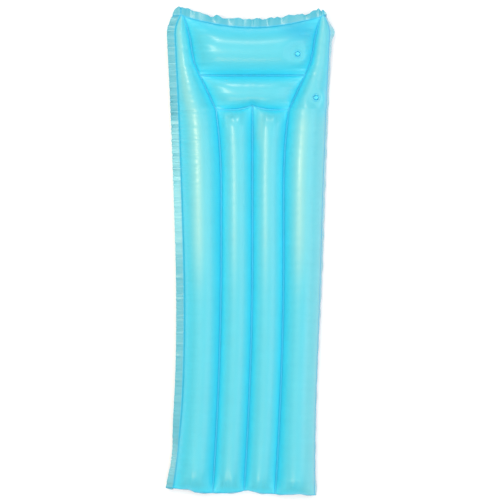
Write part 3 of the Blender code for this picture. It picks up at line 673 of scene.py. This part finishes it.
def laid_over(share, below, above):
    """A colour laid over another by a share of 0 to 1. The one above may be a plain colour."""
    laid = nodes.new("ShaderNodeMix")
    laid.data_type = "RGBA"
    links.new(share, laid.inputs["Factor"])
    links.new(below, laid.inputs["A"])
    if isinstance(above, tuple):
        laid.inputs["B"].default_value = (*above, 1)
    else:
        links.new(above, laid.inputs["B"])
    return laid.outputs["Result"]


# Crowns paler, a painted sheen. Toward the welds the film is bluer and brighter: painted light through the
# film, where the doubled film is also really deeper blue.
crown_sheen_and_valley_light = colours("valley", ((0.45, (0.058, 0.59, 0.765)), (0.96, (0.04, 0.70, 0.95))))
flat_rim = colours("flange", ((0.3, (0.03, 0.52, 0.74)), (0.5, (0.05, 0.47, 0.64))))
# The pale colours are painted light: the floor's light through the thin flange and the right flank.
pale_rim = colours("flange", ((0.0, (0.33, 0.64, 0.61)), (0.5, (0.30, 0.79, 0.90))))
pale = colours("pale", ((0.0, (0, 0, 0)), (1.0, (1, 1, 1))))
outside = colours("flange", ((0.02, (0, 0, 0)), (0.28, (1, 1, 1))))
# The welds' doubled film is darker blue. The weld mark also brings a painted fold shade at the pillow's right
# corner.
weld = colours("weld", ((0.0, (0, 0, 0)), (1.0, (0.85, 0.85, 0.85))))
welded_coat = colours("weld", ((0.0, (0.8, 0.8, 0.8)), (1.0, (0.1, 0.1, 0.1))))
links.new(welded_coat, shader.inputs["Coat Weight"])
# A painted highlight: a pale greenish streak laid over the crowns' colour.
painted_highlight = colours("painted_highlight", ((0.0, (0, 0, 0)), (1.0, (0.8, 0.8, 0.8))))
filled = laid_over(painted_highlight, crown_sheen_and_valley_light, (0.24, 0.66, 0.69))
unwelded = laid_over(pale, laid_over(outside, filled, flat_rim), pale_rim)
links.new(laid_over(weld, unwelded, (0.008, 0.46, 0.77)), tint)
solid = colours("flange", ((0.0, (0.90,) * 3), (0.50, (0.90,) * 3), (0.8, (0.66,) * 3), (1.0, (0.60,) * 3)))
links.new(solid, shader.inputs["Alpha"])

for name, facing, node in (("top_film", 1, "top_sheet"), ("bottom_film", -1, "bottom_sheet")):
    film = film_sheet(name, facing)
    film.data.materials.append(clear_blue)
    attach(film, "mat")
    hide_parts(node)


# Valve flanges
# Two stiff rings of moulded vinyl, one for the mattress and one for the
# pillow, heat-sealed under the top film round the hole that each valve
# hangs in. Three raised rings show where the film is pressed on.

def drawn_out(seat, profile):
    """Draws the selected loop out through radii and heights in mm, counted from the valve's seat."""
    radius, height = profile[0]
    for next_radius, next_height in profile[1:]:
        lift = (0, 0, (next_height - height) / 1000)
        bpy.ops.mesh.extrude_edges_move(TRANSFORM_OT_translate={"value": lift})
        share = next_radius / radius
        bpy.ops.transform.resize(value=(share, share, 1), center_override=(seat[0], seat[1], seat[2]))
        radius, height = next_radius, next_height


def finished(piece, rounding):
    """Merges doubles, turns the faces outwards, rounds the edges and shades the piece smooth."""
    bpy.ops.mesh.select_all(action="SELECT")
    bpy.ops.mesh.remove_doubles(threshold=2e-6)
    bpy.ops.mesh.normals_make_consistent(inside=False)
    bpy.ops.object.mode_set(mode="OBJECT")
    if rounding:
        edge = piece.modifiers.new("rounded edges", "BEVEL")
        edge.width = rounding / 1000
        edge.segments = 2
        edge.angle_limit = math.radians(28)
        bpy.ops.object.modifier_apply(modifier=edge.name)
    bpy.ops.object.shade_smooth_by_angle(angle=math.radians(50))


def turned_ring(name, seat, profile, rounding):
    """A ring round the valve's axis: a circle drawn out through the profile and back to its start."""
    bpy.ops.object.select_all(action="DESELECT")
    place = (seat[0], seat[1], seat[2] + profile[0][1] / 1000)
    bpy.ops.mesh.primitive_circle_add(vertices=72, radius=profile[0][0] / 1000, location=place)
    ring = bpy.context.object
    ring.name = name
    bpy.ops.object.transform_apply(location=True)
    bpy.ops.object.mode_set(mode="EDIT")
    drawn_out(seat, [*profile, profile[0]])
    finished(ring, rounding)
    return ring


def pillow_copy(piece, name):
    """The same piece on the pillow's valve, with its own mesh."""
    copy = piece.copy()
    copy.data = piece.data.copy()
    copy.name = name
    scene.collection.objects.link(copy)
    step = Vector(VALVE_SEATS["pillow_valve"]) - Vector(VALVE_SEATS["body_valve"])
    copy.data.transform(Matrix.Translation(step))
    return copy


SEAT = VALVE_SEATS["body_valve"]
PRESSED_RINGS = (12.9, 14.1, 15.3)
flange_profile = [(11.3, -1.1), (11.3, -0.45)]
for ring_radius in PRESSED_RINGS:
    flange_profile += [(ring_radius - 0.35, -0.45), (ring_radius - 0.2, -0.3)]
    flange_profile += [(ring_radius + 0.2, -0.3), (ring_radius + 0.35, -0.45)]
flange_profile += [(16.3, -0.5), (16.5, -0.75), (16.3, -0.95), (12.4, -1.1)]

valve_grain = {"Grain scale": 1500, "Mottle scale": 90, "Tone": 0.25, "Gloss": 0.40, "Spread": 0.2}
moulded_blue, shader, tint = soft_vinyl("moulded blue vinyl", valve_grain, 0.3, 0.0001)
nodes, links = moulded_blue.node_tree.nodes, moulded_blue.node_tree.links
shader.inputs["Alpha"].default_value = 0.92
shader.inputs["Coat Weight"].default_value = 0.3
shader.inputs["Coat Roughness"].default_value = 0.25
# A painted glow: a faint blue emission keeps the soft vinyl's shadows blue, standing in for light coming
# through it.
shader.inputs["Emission Color"].default_value = (0.02, 0.48, 0.72, 1)
shader.inputs["Emission Strength"].default_value = 0.12
# Painted light and shade by pointiness: paler on outward edges, darker in the corners and hollows.
edges = nodes.new("ShaderNodeNewGeometry")
depth = nodes.new("ShaderNodeValToRGB")
depth.color_ramp.elements[0].position, depth.color_ramp.elements[1].position = 0.42, 0.60
depth.color_ramp.elements[0].color = (0.03, 0.52, 0.72, 1)
depth.color_ramp.elements[1].color = (0.12, 0.74, 0.86, 1)
depth.color_ramp.elements.new(0.5).color = (0.05, 0.64, 0.82, 1)
links.new(edges.outputs["Pointiness"], depth.inputs["Fac"])
links.new(depth.outputs["Color"], tint)


def fitted(piece, body, node, material=moulded_blue):
    """Gives a valve piece its material and its place in the model."""
    piece.data.materials.clear()
    piece.data.materials.append(material)
    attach(piece, body)
    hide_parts(node)


body_flange = turned_ring("body_flange_ring", SEAT, flange_profile, 0)
fitted(body_flange, "mat", "body_valve_flange")
fitted(pillow_copy(body_flange, "pillow_flange_ring"), "mat", "pillow_valve_flange")


# Valve webs
# A thin soft sleeve of vinyl hangs each neck in its flange. It rolls over when
# the neck is pulled up, so its wall keeps faint folds round it.

WEB_WALL = 0.4
# Paler tones for the sleeve, painted light that brightens the shaded well.
WELL_PAINTED_LIGHT_TONES = ((0.16, 0.80, 0.92), (0.22, 0.86, 0.95), (0.30, 0.90, 0.96))
web_outside = [(11.0, -0.3), (10.72, -3.0), (10.88, -4.1), (10.46, -6.6), (10.62, -7.7)]
web_outside += [(10.22, -10.2), (10.36, -11.3), (10.0, -15.4)]
web_profile = web_outside + [(radius - WEB_WALL, height) for radius, height in reversed(web_outside)]
# The same vinyl, a little see-through, with paler tones and a stronger emission: painted light and a painted
# glow that brighten the shaded well.
glowing_thin_blue = moulded_blue.copy()
glowing_thin_blue.name = "thin blue vinyl"
glowing_thin_blue.node_tree.nodes["Principled BSDF"].inputs["Alpha"].default_value = 0.85
glowing_thin_blue.node_tree.nodes["Principled BSDF"].inputs["Emission Strength"].default_value = 0.35
for tone, colour in zip(glowing_thin_blue.node_tree.nodes["Color Ramp"].color_ramp.elements, WELL_PAINTED_LIGHT_TONES):
    tone.color = (*colour, 1)
body_web = turned_ring("body_web_sleeve", SEAT, web_profile, 0)
pillow_web = pillow_copy(body_web, "pillow_web_sleeve")
for web, valve in ((body_web, "body_valve"), (pillow_web, "pillow_valve")):
    fitted(web, "mat", valve + "_web", glowing_thin_blue)
    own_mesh(web)


# Valve necks
# A soft moulded tube that is pushed down flush after blowing up. It has a lip
# that the stopper seals on, a broad foot, and a lug that carries the cap.

def soft_bar(name, seat, low, high, rounding):
    """A flat bar between two corners in mm, counted from the valve's seat, with rounded ends."""
    size = [(b - a) / 1000 for a, b in zip(low, high)]
    middle = [s + (a + b) / 2000 for s, a, b in zip(seat, low, high)]
    bpy.ops.object.select_all(action="DESELECT")
    bpy.ops.mesh.primitive_cube_add(size=1, location=middle)
    bar = bpy.context.object
    bar.name = name
    bar.scale = size
    bpy.ops.object.transform_apply(location=True, scale=True)
    bpy.ops.object.mode_set(mode="EDIT")
    bpy.ops.mesh.select_mode(type="EDGE")
    bpy.ops.mesh.select_all(action="DESELECT")
    bpy.ops.object.mode_set(mode="OBJECT")
    for edge in bar.data.edges:
        a, b = (bar.data.vertices[end].co for end in edge.vertices)
        edge.select = abs(a.z - b.z) > 1e-5
    bpy.ops.object.mode_set(mode="EDIT")
    bpy.ops.mesh.bevel(offset=rounding / 1000, segments=5, affect="EDGES")
    finished(bar, 0.15)
    return bar


def joined(piece, others):
    """Melts the other shapes into the piece, as one moulding."""
    for other in others:
        union = piece.modifiers.new("moulded on", "BOOLEAN")
        union.operation = "UNION"
        union.solver = "EXACT"
        union.object = other
        bpy.context.view_layer.objects.active = piece
        bpy.ops.object.modifier_apply(modifier=union.name)
        bpy.data.objects.remove(other)
    bpy.ops.object.select_all(action="DESELECT")
    piece.select_set(True)
    bpy.context.view_layer.objects.active = piece
    bpy.ops.object.mode_set(mode="EDIT")
    finished(piece, 0)


neck_profile = [(4.2, -0.6), (4.4, -0.4), (5.8, -0.4), (6.0, -0.6), (6.0, -1.1), (5.8, -1.3), (5.8, -12.6)]
neck_profile += [(5.95, -13.3), (6.5, -13.9), (7.4, -14.2), (9.1, -14.3), (9.3, -14.5), (9.3, -15.2)]
neck_profile += [(9.1, -15.4), (4.4, -15.4), (4.2, -15.2)]
body_neck = turned_ring("body_neck_tube", SEAT, neck_profile, 0)
lug = soft_bar("lug", SEAT, (-8.7, -2.5, -2.45), (-5.0, 2.5, -1.25), 1.1)
joined(body_neck, [lug])
fitted(body_neck, "body_valve_neck", "body_valve_neck")
fitted(pillow_copy(body_neck, "pillow_neck_tube"), "pillow_valve_neck", "pillow_valve_neck")


# Valve caps
# One soft moulding each: a round cap with a stopper under it that plugs the
# neck, a strap with a knuckle that folds over the lug, and a ribbed pull tab.

def turned_plug(name, seat, profile):
    """A solid body round the valve's axis: a disc drawn out through the profile and closed in."""
    bpy.ops.object.select_all(action="DESELECT")
    radius, place = profile[0][0] / 1000, (seat[0], seat[1], seat[2] + profile[0][1] / 1000)
    bpy.ops.mesh.primitive_circle_add(vertices=72, radius=radius, fill_type="TRIFAN", location=place)
    plug = bpy.context.object
    plug.name = name
    bpy.ops.object.transform_apply(location=True)
    bpy.ops.object.mode_set(mode="EDIT")
    bpy.ops.mesh.select_mode(type="EDGE")
    bpy.ops.mesh.select_all(action="DESELECT")
    bpy.ops.mesh.select_non_manifold()
    drawn_out(seat, profile)
    bpy.ops.mesh.merge(type="CENTER")
    finished(plug, 0)
    return plug


cap_profile = [(2.2, 1.15), (3.9, 1.15), (4.25, 1.22), (4.5, 1.5), (6.2, 1.5), (6.5, 1.35), (6.6, 1.05)]
cap_profile += [(6.6, 0.2), (6.4, -0.1), (3.95, -0.1), (3.95, -0.9), (3.7, -1.2), (3.7, -1.5), (3.9, -1.8)]
cap_profile += [(3.85, -2.2), (3.6, -3.3), (3.3, -3.6), (0.5, -3.6)]
body_cap = turned_plug("body_stopper_cap", SEAT, cap_profile)
strap = soft_bar("strap", SEAT, (-8.2, -2.5, -0.1), (-5.6, 2.5, 0.7), 0.3)
knuckle_place = (SEAT[0] - 0.008, SEAT[1], SEAT[2] - 0.00025)
bpy.ops.object.select_all(action="DESELECT")
bpy.ops.mesh.primitive_cylinder_add(
    vertices=32, radius=0.0007, depth=0.0043, location=knuckle_place, rotation=(math.pi / 2, 0, 0)
)
knuckle = bpy.context.object
bpy.ops.object.transform_apply(location=True, rotation=True)
bpy.ops.object.mode_set(mode="EDIT")
finished(knuckle, 0.12)
tab = soft_bar("tab", SEAT, (5.6, -2.5, 0.25), (8.8, 2.5, 1.15), 1.6)
ribs = [soft_bar("rib", SEAT, (x, -1.7, 1.0), (x + 0.35, 1.7, 1.35), 0.12) for x in (7.0, 7.6, 8.1)]
joined(body_cap, [strap, knuckle, tab, *ribs])
fitted(body_cap, "body_valve_plug", "body_valve_plug")
fitted(pillow_copy(body_cap, "pillow_stopper_cap"), "pillow_valve_plug", "pillow_valve_plug")


# Valve flaps
# A soft round flap hangs under each neck by a thin strip. Air pushes it open
# when the mattress is blown up and holds it shut afterwards.

flap_profile = [(2.4, -15.76), (4.3, -15.70), (4.8, -15.72), (5.0, -15.86), (5.0, -16.14), (4.8, -16.28)]
flap_profile += [(3.4, -16.3), (3.1, -16.2), (1.4, -16.2), (1.1, -16.3), (0.4, -16.3)]
body_flap = turned_plug("body_flap_disc", SEAT, flap_profile)
strip = soft_bar("strip", SEAT, (2.9, -2.0, -16.225), (6.2, 2.0, -15.775), 0.2)
joined(body_flap, [strip])
fitted(body_flap, "body_valve_flap", "body_valve_flap")
fitted(pillow_copy(body_flap, "pillow_flap_disc"), "pillow_valve_flap", "pillow_valve_flap")
